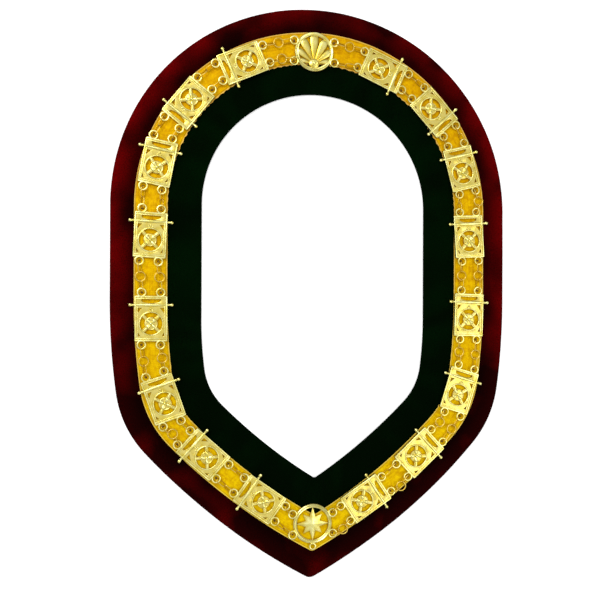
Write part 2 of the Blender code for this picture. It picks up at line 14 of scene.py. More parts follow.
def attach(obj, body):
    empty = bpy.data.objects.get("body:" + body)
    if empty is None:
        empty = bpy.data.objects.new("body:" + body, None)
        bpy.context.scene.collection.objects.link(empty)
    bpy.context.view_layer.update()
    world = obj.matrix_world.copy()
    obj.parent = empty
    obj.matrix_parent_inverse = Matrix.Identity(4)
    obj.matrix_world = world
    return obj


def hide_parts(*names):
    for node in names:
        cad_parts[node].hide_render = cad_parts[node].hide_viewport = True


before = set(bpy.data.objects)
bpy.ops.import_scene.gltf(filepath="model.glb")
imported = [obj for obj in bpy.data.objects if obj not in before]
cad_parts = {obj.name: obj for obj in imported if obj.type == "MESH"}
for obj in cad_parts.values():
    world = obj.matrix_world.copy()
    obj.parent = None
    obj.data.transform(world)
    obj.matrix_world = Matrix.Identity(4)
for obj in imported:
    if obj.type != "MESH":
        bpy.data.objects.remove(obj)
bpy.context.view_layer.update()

MM = 0.001
DEG = math.pi / 180

# The collar's outline and bands, as in the part's source
COLLAR_LENGTH = 624 * MM
COLLAR_WIDTH = 439 * MM
SIDE_STRAIGHT = 100 * MM
BOW_RADIUS = 730 * MM
BOW_TURN = 7.8 * DEG
SHOULDER_RADIUS = 120 * MM
POINT_SIDE_RADIUS = 655 * MM
TIP_RADIUS = 10 * MM
TIP_DRIFT = -5 * MM
RED_BAND = 24.7 * MM
RED_BAND_NAPE = 26 * MM
RED_BAND_POINT = 29.5 * MM
RIBBON_WIDTH = 34.9 * MM
GREEN_BAND = 36 * MM
GREEN_BAND_NAPE = 33 * MM
GREEN_BAND_POINT = 39.8 * MM
RIBBON_STRAIGHT = 95 * MM
RIBBON_BOW_RADIUS = 706 * MM
RIBBON_BOW_TURN = 7.8 * DEG
RIBBON_SHOULDER_RADIUS = 114 * MM
RIBBON_SIDE_RADIUS = 619 * MM
RIBBON_TIP_RADIUS = 5 * MM
OPENING_STRAIGHT = 122.5 * MM
OPENING_BOW_RADIUS = 424 * MM
OPENING_BOW_TURN = 7.3 * DEG
OPENING_SHOULDER_RADIUS = 68 * MM
OPENING_SIDE_RADIUS = 586 * MM
OPENING_TIP_RADIUS = 4 * MM

# Heights
VELVET_TOP = 3.0 * MM
RIBBON_BASE = 3.3 * MM
RIBBON_TOP = 4.3 * MM
PLATE_BASE = 4.6 * MM
PLATE_TOP = 7.4 * MM
LINK_LEVEL = 6.8 * MM

# Castings
PLATE_WIDTH = 34 * MM
PLATE_LENGTH = 48 * MM
PLATE_BAR = 3.6 * MM
SLOT_WIDTH = 20 * MM
SLOT_HEIGHT = 4.2 * MM
ROD_LENGTH = 47 * MM
ROUNDEL_RADIUS = 11.8 * MM
ROUNDEL_DROP = 5.2 * MM
ROSETTE_RADIUS = 6.6 * MM
SPOKE_WIDTH = 3.4 * MM
LUG_REACH = 3.6 * MM
LUG_SPREAD = 19.8 * MM
LUG_RADIUS = 4.2 * MM
LUG_WIRE = 1.6 * MM
MEDALLION_RADIUS = 21.5 * MM
MEDALLION_WALL = 4.1 * MM
MEDALLION_LUG_X = 22.2 * MM
MEDALLION_LUG_Y = 11.3 * MM
JEWEL_LUG_RADIUS = 3.1 * MM
STAR_SHORT_RAY = 14.4 * MM
STAR_WAIST = 8.2 * MM
STAR_SIDE = 1.6 * MM
STAR_RISE = 1.5 * MM
TOP_MEDALLION_DROP = 4.2 * MM
TOP_MEDALLION_ASIDE = -2.6 * MM
BOTTOM_MEDALLION_RISE = 10.4 * MM
BOTTOM_MEDALLION_ASIDE = -1.7 * MM

# Links
LINK_LENGTH = 11.6 * MM
SHORTEST_LINK = 9.8 * MM
LINK_WIDTH = 4.6 * MM
LINK_WIRE = 1.0 * MM
LINK_LEAN = 45 * DEG
LINK_PLAY = 1.3 * MM
MOST_BOW = 14 * DEG
RING_RADIUS = 5.05 * MM
RING_WIRE = 1.4 * MM
WIRE_PLAY = 0.08 * MM

# A plate's and a medallion's eye in the upper right quarter, the signs of the four quarters
# and those of the collar's two sides
PLATE_EYE = Vector((LUG_SPREAD / 2, PLATE_LENGTH / 2 + LUG_REACH))
MEDALLION_EYE = Vector((MEDALLION_LUG_X, MEDALLION_LUG_Y))
QUARTERS = [Vector((x, y)) for x in (-1, 1) for y in (-1, 1)]
HANDS = {"left": -1, "right": 1}

Edge = namedtuple("Edge", "half_width crown_y straight bow_radius bow_turn shoulder_radius "
                  "side_radius tip_y tip_radius")
Place = namedtuple("Place", "point angle")
PlateRow = namedtuple("PlateRow", "side number share outwards turn head_up")
PLATES = (
    PlateRow("left", 1, 0.119, -0.04, -3, False),
    PlateRow("left", 2, 0.224, -0.01, 0, False),
    PlateRow("left", 3, 0.326, -0.03, 4, True),
    PlateRow("left", 4, 0.435, 0.01, -3, True),
    PlateRow("left", 5, 0.559, -0.01, -2, True),
    PlateRow("left", 6, 0.681, -0.11, 1, True),
    PlateRow("left", 7, 0.787, -0.03, 1, True),
    PlateRow("left", 8, 0.898, -0.03, 0, True),
    PlateRow("right", 1, 0.112, -0.10, 2, False),
    PlateRow("right", 2, 0.217, -0.04, 2, False),
    PlateRow("right", 3, 0.318, -0.06, -2, True),
    PlateRow("right", 4, 0.428, -0.02, 3, True),
    PlateRow("right", 5, 0.553, -0.01, 0, True),
    PlateRow("right", 6, 0.675, -0.08, -2, True),
    PlateRow("right", 7, 0.795, 0.03, 0, True),
    PlateRow("right", 8, 0.905, 0.00, -2, True),
)
StrandRow = namedtuple("StrandRow", "side gap outer inner")
STRANDS = (
    StrandRow("left", 1, "ringed", "tucked"),
    StrandRow("left", 2, "pair", "link"),
    StrandRow("left", 3, "pair", "link"),
    StrandRow("left", 4, "pair", "pair"),
    StrandRow("left", 5, "ringed", "ringed"),
    StrandRow("left", 6, "ringed", "tucked"),
    StrandRow("left", 7, "tucked", "link"),
    StrandRow("left", 8, "pair", "pair"),
    StrandRow("left", 9, "pair", "link"),
    StrandRow("right", 1, "ringed", "pair"),
    StrandRow("right", 2, "pair", "link"),
    StrandRow("right", 3, "pair", "link"),
    StrandRow("right", 4, "ringed", "pair"),
    StrandRow("right", 5, "ringed", "ringed"),
    StrandRow("right", 6, "ringed", "tucked"),
    StrandRow("right", 7, "ringed", "tucked"),
    StrandRow("right", 8, "ringed", "pair"),
    StrandRow("right", 9, "ringed", "link"),
)
RINGED = ("ringed", "tucked")


# Outline


def heading(angle):
    """A unit vector that starts towards +X and turns clockwise with the angle."""
    return Vector((math.cos(angle), -math.sin(angle)))


def outer_edge():
    """The velvet's outer edge."""
    half = COLLAR_WIDTH / 2
    return Edge(half, COLLAR_LENGTH / 2 - half, SIDE_STRAIGHT, BOW_RADIUS, BOW_TURN,
                SHOULDER_RADIUS, POINT_SIDE_RADIUS, -COLLAR_LENGTH / 2, TIP_RADIUS)


def edge_arcs(edge, inset=0.0):
    """The arcs of an edge's right half, moved inwards by inset, as centre, radius, start, end."""
    crown = Vector((0, edge.crown_y))
    bow = Vector((edge.half_width - edge.bow_radius, edge.crown_y - edge.straight))
    shoulder = bow + (edge.bow_radius - edge.shoulder_radius) * heading(edge.bow_turn)
    lead = edge.side_radius - edge.shoulder_radius
    reach = shoulder - Vector((0, edge.tip_y + edge.tip_radius))
    square = reach.length_squared + lead ** 2 - (edge.side_radius - edge.tip_radius) ** 2
    swing = max(-1, min(1, square / (2 * lead * reach.length)))
    meet = math.atan2(-reach.y, reach.x) + math.acos(swing)
    side = shoulder - lead * heading(meet)
    span = edge.side_radius - inset - edge.tip_radius
    tip = Vector((0, side.y - math.sqrt(max(span ** 2 - side.x ** 2, 0))))
    end = math.atan2(side.y - tip.y, tip.x - side.x)
    return (
        (crown, edge.half_width - inset, -math.pi / 2, 0),
        (bow, edge.bow_radius - inset, 0, edge.bow_turn),
        (shoulder, edge.shoulder_radius - inset, edge.bow_turn, meet),
        (side, edge.side_radius - inset, meet, end),
        (tip, edge.tip_radius, end, math.pi / 2),
    )


# How many steps the crown, the straight, the bow, the shoulder, the side and the tip get
RAIL_STEPS = (128, 34, 34, 40, 90, 14)


def half_rail(edge, inset=0.0, steps=RAIL_STEPS):
    """Points down the right half of an edge, alike in number for every edge and inset."""
    crown, *rest = edge_arcs(edge, inset)
    pieces = [crown, None, *rest]
    points = []
    for piece, count in zip(pieces, steps):
        if piece is None:
            start, end = points[-1], rest[0][0] + rest[0][1] * heading(0)
            points += [start.lerp(end, step / count) for step in range(1, count + 1)]
            continue
        centre, radius, first, last = piece
        begin = 1 if points else 0
        points += [centre + radius * heading(first + (last - first) * step / count)
                   for step in range(begin, count + 1)]
    return points


def ribbon_edge():
    """The ribbon's outer edge, which keeps its distances from the velvet's."""
    outer = outer_edge()
    half = outer.half_width - RED_BAND
    crown_top = outer.crown_y + outer.half_width - RED_BAND_NAPE
    return Edge(half, crown_top - half, RIBBON_STRAIGHT, RIBBON_BOW_RADIUS, RIBBON_BOW_TURN,
                RIBBON_SHOULDER_RADIUS, RIBBON_SIDE_RADIUS, outer.tip_y + RED_BAND_POINT,
                RIBBON_TIP_RADIUS)


def opening_edge():
    """The neck opening's edge, which keeps its distances from the ribbon."""
    ribbon = ribbon_edge()
    half = ribbon.half_width - RIBBON_WIDTH - GREEN_BAND
    crown_top = ribbon.crown_y + ribbon.half_width - RIBBON_WIDTH - GREEN_BAND_NAPE
    tip_y = half_rail(ribbon, RIBBON_WIDTH)[-1].y + GREEN_BAND_POINT
    return Edge(half, crown_top - half, OPENING_STRAIGHT, OPENING_BOW_RADIUS, OPENING_BOW_TURN,
                OPENING_SHOULDER_RADIUS, OPENING_SIDE_RADIUS, tip_y, OPENING_TIP_RADIUS)


DRIFT_START = half_rail(opening_edge())[-1].y


def drift(point):
    """Carries a point sideways, as the collar's point hangs a little off its middle."""
    share = (DRIFT_START - point.y) / (DRIFT_START + COLLAR_LENGTH / 2)
    return Vector((point.x + TIP_DRIFT * max(share, 0) ** 2, point.y))


def rail(edge, inset=0.0):
    """A whole edge, both halves, clockwise from the nape."""
    right = half_rail(edge, inset)
    left = [Vector((-point.x, point.y)) for point in reversed(right[1:-1])]
    return [drift(point) for point in right + left]


def on_ribbon(row):
    """Where a plate lies, and the direction of its head end."""
    path = half_rail(ribbon_edge(), RIBBON_WIDTH / 2)
    rest = row.share * sum((b - a).length for a, b in zip(path, path[1:]))
    for start, end in zip(path, path[1:]):
        if rest <= (end - start).length:
            break
        rest -= (end - start).length
    forwards = (end - start).normalized()
    out = Vector((-forwards.y, forwards.x))
    point = start + forwards * rest + out * row.outwards * RIBBON_WIDTH
    head = -forwards if row.head_up else forwards
    if row.side == "left":
        point.x, head.x = -point.x, -head.x
    return Place(drift(point), math.atan2(head.y, head.x) - math.pi / 2 + row.turn * DEG)


def medallion_places():
    """Where the two medallions lie."""
    path = half_rail(ribbon_edge(), RIBBON_WIDTH / 2)
    top = Vector((TOP_MEDALLION_ASIDE, path[0].y - TOP_MEDALLION_DROP))
    bottom = drift(Vector((BOTTOM_MEDALLION_ASIDE, path[-1].y + BOTTOM_MEDALLION_RISE)))
    return Place(top, 0), Place(bottom, 0)


def world_point(place, point):
    """A point of a plate or medallion, on the collar."""
    return place.point + Matrix.Rotation(place.angle, 2) @ point


def standing(place):
    """A place on the collar as a matrix."""
    return (Matrix.Translation((place.point.x, place.point.y, 0))
            @ Matrix.Rotation(place.angle, 4, "Z"))


# Materials


def linear(code):
    """An sRGB hex colour as linear RGBA."""
    parts = [int(code[at:at + 2], 16) / 255 for at in (0, 2, 4)]
    return [part / 12.92 if part <= 0.04045 else ((part + 0.055) / 1.055) ** 2.4
            for part in parts] + [1.0]


def node(tree, kind, sockets=None, stops=(), **settings):
    """Adds one node. Sockets, by name or number, take a value or another node's output. Stops
    are a colour ramp's marks, each with a hex colour or a grey. Settings are the node's
    properties, or its sockets by name."""
    made = tree.nodes.new(kind)
    for name, value in settings.items():
        if hasattr(made, name):
            setattr(made, name, value)
        else:
            made.inputs[name.replace("_", " ")].default_value = value
    for name, value in (sockets or {}).items():
        if isinstance(value, bpy.types.NodeSocket):
            tree.links.new(value, made.inputs[name])
        else:
            made.inputs[name].default_value = value
    if stops:
        marks = made.color_ramp.elements
        while len(marks) < len(stops):
            marks.new(0.5)
        for mark, (position, colour) in zip(marks, stops):
            mark.position = position
            mark.color = linear(colour) if isinstance(colour, str) else (colour,) * 3 + (1.0,)
    return made


def start_material(name, **sockets):
    """A Principled material, its tree, its shader and its Object coordinates."""
    made = bpy.data.materials.new(name)
    made.use_nodes = True
    tree = made.node_tree
    shader = tree.nodes["Principled BSDF"]
    for socket, value in sockets.items():
        shader.inputs[socket.replace("_", " ")].default_value = value
    return made, tree, shader, node(tree, "ShaderNodeTexCoord").outputs["Object"]


def per_mm(size):
    """A texture scale that gives patches of that size, in millimetres."""
    return 1 / (size * MM)


def shaded(tree, colour, *shades):
    """A colour multiplied by each of the shades."""
    for shade in shades:
        colour = node(tree, "ShaderNodeMix", {0: 1.0, 6: colour, 7: shade}, data_type="RGBA",
                      blend_type="MULTIPLY").outputs[2]
    return colour


def surface(tree, shader, colour, height, strength, depth):
    """Gives a shader its colour, and its fine relief from a height."""
    relief = node(tree, "ShaderNodeBump", {"Height": height}, Strength=strength, Distance=depth)
    tree.links.new(colour, shader.inputs["Base Color"])
    tree.links.new(relief.outputs["Normal"], shader.inputs["Normal"])


def velvet(name, deep, lit, edge, sheen):
    """Cotton velvet: short upright pile that drinks light. Painted sheen makes it paler along the
    collar's upper sides and towards its rolled edge, and painted shade makes it darker in the
    collar's lower part and next to the ribbon."""
    made, tree, shader, place = start_material(
        name, Roughness=1.0, Specular_IOR_Level=0.02, Sheen_Weight=0.1, Sheen_Roughness=0.55,
        Sheen_Tint=linear(sheen))
    # The pile is stroked across the band in streaks about 30 mm wide, and crushed in patches
    # of about 14 mm.
    streak = node(tree, "ShaderNodeAttribute", attribute_name="stroke")
    crush = node(tree, "ShaderNodeTexNoise", {"Vector": place}, Scale=per_mm(14), Detail=2.0,
                 Roughness=0.5)
    # Painted sheen makes it paler out at the sides, and painted shade makes it darker in the
    # collar's lower part.
    parts = node(tree, "ShaderNodeSeparateXYZ", {"Vector": place})
    aside = node(tree, "ShaderNodeMath", {0: parts.outputs["X"]}, operation="ABSOLUTE")
    side = node(tree, "ShaderNodeMapRange", {"Value": aside.outputs[0]}, From_Min=60 * MM,
                From_Max=200 * MM, To_Min=-0.16, To_Max=0.16)
    low = node(tree, "ShaderNodeMapRange", {"Value": parts.outputs["Y"]}, From_Min=-150 * MM,
               From_Max=-10 * MM, To_Min=1, To_Max=0)
    # The painted sheen at the sides gives way to painted shade in the collar's lower part.
    where = node(tree, "ShaderNodeMix",
                 {0: low.outputs["Result"], 2: side.outputs["Result"], 3: -0.34},
                 data_type="FLOAT")
    most = node(tree, "ShaderNodeMath", {0: streak.outputs["Fac"], 1: where.outputs[0]},
                operation="ADD")
    both = node(tree, "ShaderNodeMath", {0: crush.outputs["Fac"], 1: 0.3, 2: most.outputs[0]},
                operation="MULTIPLY_ADD")
    colour = node(tree, "ShaderNodeValToRGB", {"Fac": both.outputs[0]},
                  [(0.36, deep), (0.9, lit)])
    # Painted sheen towards the rolled edge and painted shade next to the ribbon, by the share of
    # the way across
    across = node(tree, "ShaderNodeAttribute", attribute_name="inwards")
    turned = node(tree, "ShaderNodeValToRGB", {"Fac": across.outputs["Fac"]}, edge)
    # Pile tufts are about 0.3 mm, drawn at 0.9 mm so that they show.
    pile = node(tree, "ShaderNodeTexNoise", {"Vector": place}, Scale=per_mm(0.9), Detail=2.0)
    tufts = node(tree, "ShaderNodeValToRGB", {"Fac": pile.outputs["Fac"]},
                 [(0.35, 0.35), (0.5, 0.8), (0.65, 1.0)])
    tufted = shaded(tree, colour.outputs["Color"], turned.outputs["Color"],
                    tufts.outputs["Color"])
    surface(tree, shader, tufted, pile.outputs["Fac"], 0.6, 0.4 * MM)
    return made


def lame(name):
    """Gold lame: flat metal threads over a yellow ground, slightly crushed, with a paler corded
    selvedge and a groove beside it, darkened with painted shade."""
    made, tree, shader, place = start_material(name, Roughness=0.5, Metallic=0.22,
                                               Specular_IOR_Level=0.03)
    crush = node(tree, "ShaderNodeTexNoise", {"Vector": place}, Scale=per_mm(6), Detail=4.0,
                 Roughness=0.6, Distortion=0.8)
    # The weave shows as faint streaks along the ribbon, about 16 by 2.5 mm.
    own = node(tree, "ShaderNodeUVMap", uv_map="cloth")
    along = node(tree, "ShaderNodeMapping", {"Vector": own.outputs["UV"]},
                 Scale=(per_mm(16), per_mm(2.5), 1))
    tone = node(tree, "ShaderNodeTexNoise", {"Vector": along.outputs["Vector"]}, Scale=1.0,
                Detail=2.0)
    both = node(tree, "ShaderNodeMath", {0: tone.outputs["Fac"], 1: 0.5, 2: crush.outputs["Fac"]},
                operation="MULTIPLY_ADD")
    ground = node(tree, "ShaderNodeValToRGB", {"Fac": both.outputs[0]},
                  [(0.56, "C89A00"), (0.72, "D8B000"), (0.8, "E0BA00"), (0.95, "EAC800")])
    # The ribbon warms from lemon at the collar's point to amber at its nape.
    parts = node(tree, "ShaderNodeSeparateXYZ", {"Vector": place})
    up = node(tree, "ShaderNodeMapRange", {"Value": parts.outputs["Y"]}, From_Min=-260 * MM,
              From_Max=200 * MM)
    warmth = node(tree, "ShaderNodeValToRGB", {"Fac": up.outputs["Result"]},
                  [(0.0, "FFFFFF"), (0.5, "FAF1FF"), (1.0, "F3E0FF")])
    # Both selvedges, each a cord and a groove darkened with painted shade, by the share of the way
    # across
    across = node(tree, "ShaderNodeAttribute", attribute_name="inwards")
    groove = node(tree, "ShaderNodeValToRGB", {"Fac": across.outputs["Fac"]},
                  [(0.0, 1.0), (0.03, 1.0), (0.045, 0.66), (0.075, 1.0), (0.925, 1.0),
                   (0.955, 0.66), (0.97, 1.0), (1.0, 1.0)])
    cord = node(tree, "ShaderNodeValToRGB", {"Fac": across.outputs["Fac"]},
                [(0.0, 1.0), (0.02, 1.0), (0.04, 0.0), (0.96, 0.0), (0.98, 1.0), (1.0, 1.0)])
    paled = node(tree, "ShaderNodeMix",
                 {0: cord.outputs["Color"], 6: ground.outputs["Color"], 7: linear("E6C850")},
                 data_type="RGBA")
    warmed = shaded(tree, paled.outputs[2], groove.outputs["Color"], warmth.outputs["Color"])
    # The threads are 0.4 mm apart, drawn at 0.8 mm along the ribbon's own map.
    threads = node(tree, "ShaderNodeTexWave", {"Vector": own.outputs["UV"]}, wave_type="BANDS",
                   bands_direction="X", Scale=per_mm(0.8) / (2 * math.pi), Distortion=2.0,
                   Detail=2.0)
    height = node(tree, "ShaderNodeMath",
                  {0: threads.outputs["Fac"], 1: 0.18, 2: crush.outputs["Fac"]},
                  operation="MULTIPLY_ADD")
    surface(tree, shader, warmed, height.outputs[0], 0.5, 0.8 * MM)
    return made


def gilding(name, ground, worn, bright, grain, roughness):
    """Gilt brass: deeper gold in the low ground, a painted shade in the recesses, and paler on the
    raised parts, a painted highlight.
    """
    made, tree, shader, place = start_material(name, Metallic=1.0, Roughness=roughness)
    tone = node(tree, "ShaderNodeTexNoise", {"Vector": place}, Scale=per_mm(6), Detail=3.0)
    painted_crest_highlight = node(tree, "ShaderNodeValToRGB", {"Fac": tone.outputs["Fac"]},
                    [(0.3, worn), (0.62, bright)])
    parts = node(tree, "ShaderNodeSeparateXYZ", {"Vector": place})
    # By height: painted shade in the low ground, a painted highlight on the raised parts.
    painted_shade_by_height = node(tree, "ShaderNodeMapRange", {"Value": parts.outputs["Z"]},
                 From_Min=PLATE_BASE + 1.2 * MM, From_Max=PLATE_TOP - 0.5 * MM)
    colour = node(tree, "ShaderNodeMix",
                  {0: painted_shade_by_height.outputs["Result"], 6: linear(ground), 7: painted_crest_highlight.outputs["Color"]},
                  data_type="RGBA")
    # The grain of the casting or of the drawing die, in millimetres, roughens it unevenly.
    cast = node(tree, "ShaderNodeTexNoise", {"Vector": place}, Scale=per_mm(grain), Detail=3.0,
                Roughness=0.6)
    finish = node(tree, "ShaderNodeMapRange", {"Value": cast.outputs["Fac"]},
                  To_Min=roughness - 0.08, To_Max=roughness + 0.12)
    tree.links.new(finish.outputs["Result"], shader.inputs["Roughness"])
    surface(tree, shader, colour.outputs[2], cast.outputs["Fac"], 0.3, 0.12 * MM)
    return made


def waxed_thread(name):
    """Brown waxed linen thread, twisted, with a dull gleam."""
    made, tree, shader, place = start_material(name, Roughness=0.6, Specular_IOR_Level=0.3)
    # The ply is 0.3 mm, drawn at 0.6 mm.
    ply = node(tree, "ShaderNodeTexNoise", {"Vector": place}, Scale=per_mm(0.6), Detail=1.0)
    colour = node(tree, "ShaderNodeValToRGB", {"Fac": ply.outputs["Fac"]},
                  [(0.35, "4A2E06"), (0.65, "7A5410")])
    surface(tree, shader, colour.outputs["Color"], ply.outputs["Fac"], 0.6, 0.2 * MM)
    return made


# Each velvet's third argument is its ramp across the band: painted sheen towards the rolled edge,
# painted shade next to the ribbon.
RED_VELVET = velvet("wine_red_cotton_velvet", "220000", "640001",
                    [(0.0, 1.0), (0.1, 0.95), (0.3, 0.62), (0.48, 0.3), (1.0, 0.25)], "802020")
GREEN_VELVET = velvet("bottle_green_cotton_velvet", "000A00", "001201",
                      [(0.0, 0.8), (0.5, 0.9), (1.0, 1.0)], "183020")
LAME = lame("gold_lame_ribbon")
# Each gilding's first colour is its low ground, darkened as painted shade; the next two are its
# paler raised parts, a painted highlight.
CAST_GILT = gilding("cast_gilt_brass", "CEB034", "E2D262", "F6F0A0", 1.1, 0.25)
WIRE_GILT = gilding("drawn_gilt_wire", "C89C20", "D4AC34", "E6CA64", 1.6, 0.34)
THREAD = waxed_thread("brown_waxed_thread")


# Mesh helpers

# Points closer than this are one point
MERGE = 0.002 * MM


def put(name, data):
    """A new object in the scene, at the origin."""
    thing = bpy.data.objects.new(name, data)
    bpy.context.scene.collection.objects.link(thing)
    return thing


def show(name, mesh, finish):
    """A named piece at the origin, smooth but for its sharp edges."""
    mesh.materials.append(finish)
    mesh.polygons.foreach_set("use_smooth", [True] * len(mesh.polygons))
    return put(name, mesh)


def mesh_of(bm, name, sharp=None):
    """A mesh with its faces pointing outwards, its edges past the angle sharp kept crisp."""
    bmesh.ops.remove_doubles(bm, verts=bm.verts, dist=MERGE)
    bmesh.ops.recalc_face_normals(bm, faces=bm.faces)
    mesh = bpy.data.meshes.new(name)
    bm.to_mesh(mesh)
    bm.free()
    if sharp:
        mesh.set_sharp_from_angle(angle=sharp)
    return mesh


def copied(mesh, name, place):
    """A copy of a mesh, carried to its place."""
    made = mesh.copy()
    made.name = name
    made.transform(place)
    return made


def dress(piece, node_name):
    """Says which node a piece stands for and what it rides on."""
    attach(piece, "root")
    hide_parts(node_name)


# Cloth

# The radius of the circle that a turn round the collar walks through the noise, which gives
# 53 pile streaks of about 30 mm each, and how far they slant over the band's width
STREAK_WALK = 8.5
STREAK_SLANT = 1.3
# The two velvets don't quite meet below the ribbon
SEAM_GAP = 0.3 * MM
# How far the velvet's middle stands above its edges
FULLNESS = 0.8 * MM
# The ribbon's corded selvedge, its gathers, and the scallops that they draw in that selvedge
CORD_RADIUS = 0.45 * MM
GATHERS = 190
GATHER_DEPTH = 0.34 * MM
SCALLOP = 0.55 * MM
# The most that the ribbon rises, to stay clear of the castings
MOST_RISE = 0.3 * MM


def swell(point, scale, seed):
    """A smooth, repeatable wave of height from -1 to 1 at a point of the cloth."""
    return noise.noise(Vector((point.x / scale, point.y / scale, seed)))


def band(name, near, far, section, lift, sway=None):
    """A closed band of cloth between two rails. The section's points are a share of the way
    across, a shift and a level. The lift adds to the level and the sway to the shift. A
    point carries how far across it is and how its pile is stroked."""
    around, across = len(near), len(section)
    bm = bmesh.new()
    cloth = bm.loops.layers.uv.new("cloth")
    inwards = bm.verts.layers.float.new("inwards")
    stroke = bm.verts.layers.float.new("stroke")
    bmesh.ops.create_grid(bm, x_segments=around, y_segments=across, size=0.5)
    walked = [0.0]
    for start, end in zip(near, near[1:] + near[:1]):
        walked.append(walked[-1] + (end - start).length)
    length = walked[-1]
    width = (far[0] - near[0]).length
    for face in bm.faces:
        for loop in face.loops:
            share = section[round((loop.vert.co.y + 0.5) * across) % across][0]
            loop[cloth].uv = ((loop.vert.co.x + 0.5) * length, share * width)
    for vert in bm.verts:
        step = round((vert.co.x + 0.5) * around) % around
        share, shift, level = section[round((vert.co.y + 0.5) * across) % across]
        over = far[step] - near[step]
        if sway:
            shift += sway(near[step], share, step / around)
        spot = near[step] + over * share + over.normalized() * shift
        way = math.tau * walked[step] / length
        streak = Vector((STREAK_WALK * math.cos(way), STREAK_WALK * math.sin(way),
                         STREAK_SLANT * share))
        vert[inwards] = share + shift / over.length
        vert[stroke] = 0.5 + 0.5 * noise.noise(streak)
        vert.co = (spot.x, spot.y, level + lift(spot, share, level, step / around))
    return mesh_of(bm, name)


def side_curve(reach, middle, radius, turns):
    """Points round a rolled edge, as shift and level, from low to high."""
    return [(reach - radius * math.cos(turn * DEG), middle + radius * math.sin(turn * DEG))
            for turn in turns]


def velvet_section(rolled_near, rolled_far, count):
    """The cut across a velvet band: a flat underside, a full top and rolled or raw sides."""
    half = VELVET_TOP / 2
    roll = side_curve(half, half, half, (-60, -30, 0, 30, 60))
    raw = [(SEAM_GAP / 2, 0), (SEAM_GAP / 2, VELVET_TOP)]
    first = 2.5 * MM
    near = [(0, shift, level) for shift, level in (roll if rolled_near else raw)]
    far = [(1, -shift, level) for shift, level in reversed(roll if rolled_far else raw)]
    top = [(step / count, first * (1 - 2 * step / count), VELVET_TOP)
           for step in range(count + 1)]
    under = [(1, -first, 0), (0.5, 0, 0), (0, first, 0)]
    return near + top + far + under


def velvet_lift(seed, open_edge):
    """The velvet's rise and fall. It is full between its edge and the ribbon, and flat below
    the ribbon."""
    def lift(spot, share, level, turn):
        """How far a point rises, wherever it is round the collar."""
        if level < VELVET_TOP / 2:
            return 0.0
        from_edge = abs(share - open_edge)
        under_ribbon = min(max((from_edge - 0.5) / 0.08, 0), 1)
        full = FULLNESS * math.sin(math.pi * min(from_edge / 0.6, 1)) ** 0.7
        wave = 0.4 * MM * swell(spot, 46 * MM, seed) + 0.15 * MM * swell(spot, 15 * MM, seed + 7)
        return (full + wave) * (1 - under_ribbon) * level / VELVET_TOP
    return lift


def ribbon_section(count):
    """The cut across the ribbon: thin, with a selvedge cord along each side."""
    low, high = RIBBON_BASE, RIBBON_TOP - 0.35 * MM
    cord = side_curve(CORD_RADIUS, low + CORD_RADIUS, CORD_RADIUS, (-60, -20, 20, 60, 100, 140))
    groove = [(1.3 * MM, high - 0.25 * MM), (1.8 * MM, high - 0.1 * MM)]
    near = [(0, shift, level) for shift, level in cord + groove]
    far = [(1, -shift, level) for _, shift, level in reversed(near)]
    first = 2.4 * MM
    top = [(step / count, first * (1 - 2 * step / count), high) for step in range(count + 1)]
    under = [(share, shift, low) for share, shift in ((1, -first), (0.5, 0), (0, first))]
    return near + top + far + under


def bend_at(spot):
    """How strongly the ribbon is bent at a point, from 0 to 1: most round the nape and at the
    lower corners."""
    crown = min(max((spot.y - 70 * MM) / (60 * MM), 0), 1)
    shoulder = max(1 - abs(spot.y + 120 * MM) / (60 * MM), 0)
    return max(crown, shoulder, 0.15)


def gather(spot, turn):
    """The run of small gathers along the ribbon's inner side, from -1 to 1."""
    return math.sin(math.tau * turn * GATHERS + 4 * swell(spot, 26 * MM, 4.0))


def ribbon_lift(spot, share, level, turn):
    """Gathers that run out across the ribbon, and a crushed surface."""
    if level < RIBBON_BASE + 0.2 * MM:
        return 0.0
    uneven = 0.7 + 0.6 * swell(spot, 22 * MM, 9.0)
    depth = GATHER_DEPTH * bend_at(spot) * share ** 1.8 * uneven
    crush = 0.15 * MM * swell(spot, 7 * MM, 2.0) + 0.16 * MM * swell(spot, 19 * MM, 5.0)
    return min(gather(spot, turn) * depth + crush, MOST_RISE)


def ribbon_sway(spot, share, turn):
    """The inner selvedge is drawn into small scallops by the gathers."""
    return SCALLOP * bend_at(spot) * share ** 4 * gather(spot, turn)


def build_cloth():
    """The two velvet bands and the ribbon."""
    ribbon_out = ribbon_edge()
    seam = rail(ribbon_out, RIBBON_WIDTH / 2)
    red = show("red_velvet_band", band(
        "red_velvet_band", rail(outer_edge()), seam, velvet_section(True, False, 14),
        velvet_lift(1.5, 0.0)), RED_VELVET)
    green = show("green_velvet_band", band(
        "green_velvet_band", seam, rail(opening_edge()), velvet_section(False, True, 14),
        velvet_lift(6.5, 1.0)), GREEN_VELVET)
    ribbon = show("lame_ribbon", band(
        "lame_ribbon", rail(ribbon_out), rail(ribbon_out, RIBBON_WIDTH), ribbon_section(18),
        ribbon_lift, ribbon_sway), LAME)
    dress(red, "velvet_outer")
    dress(green, "velvet_inner")
    dress(ribbon, "gold_ribbon")


# Castings


def edges_at(verts):
    """Every edge at these points, once each and in the same order each run."""
    return list(dict.fromkeys(edge for vert in verts for edge in vert.link_edges))


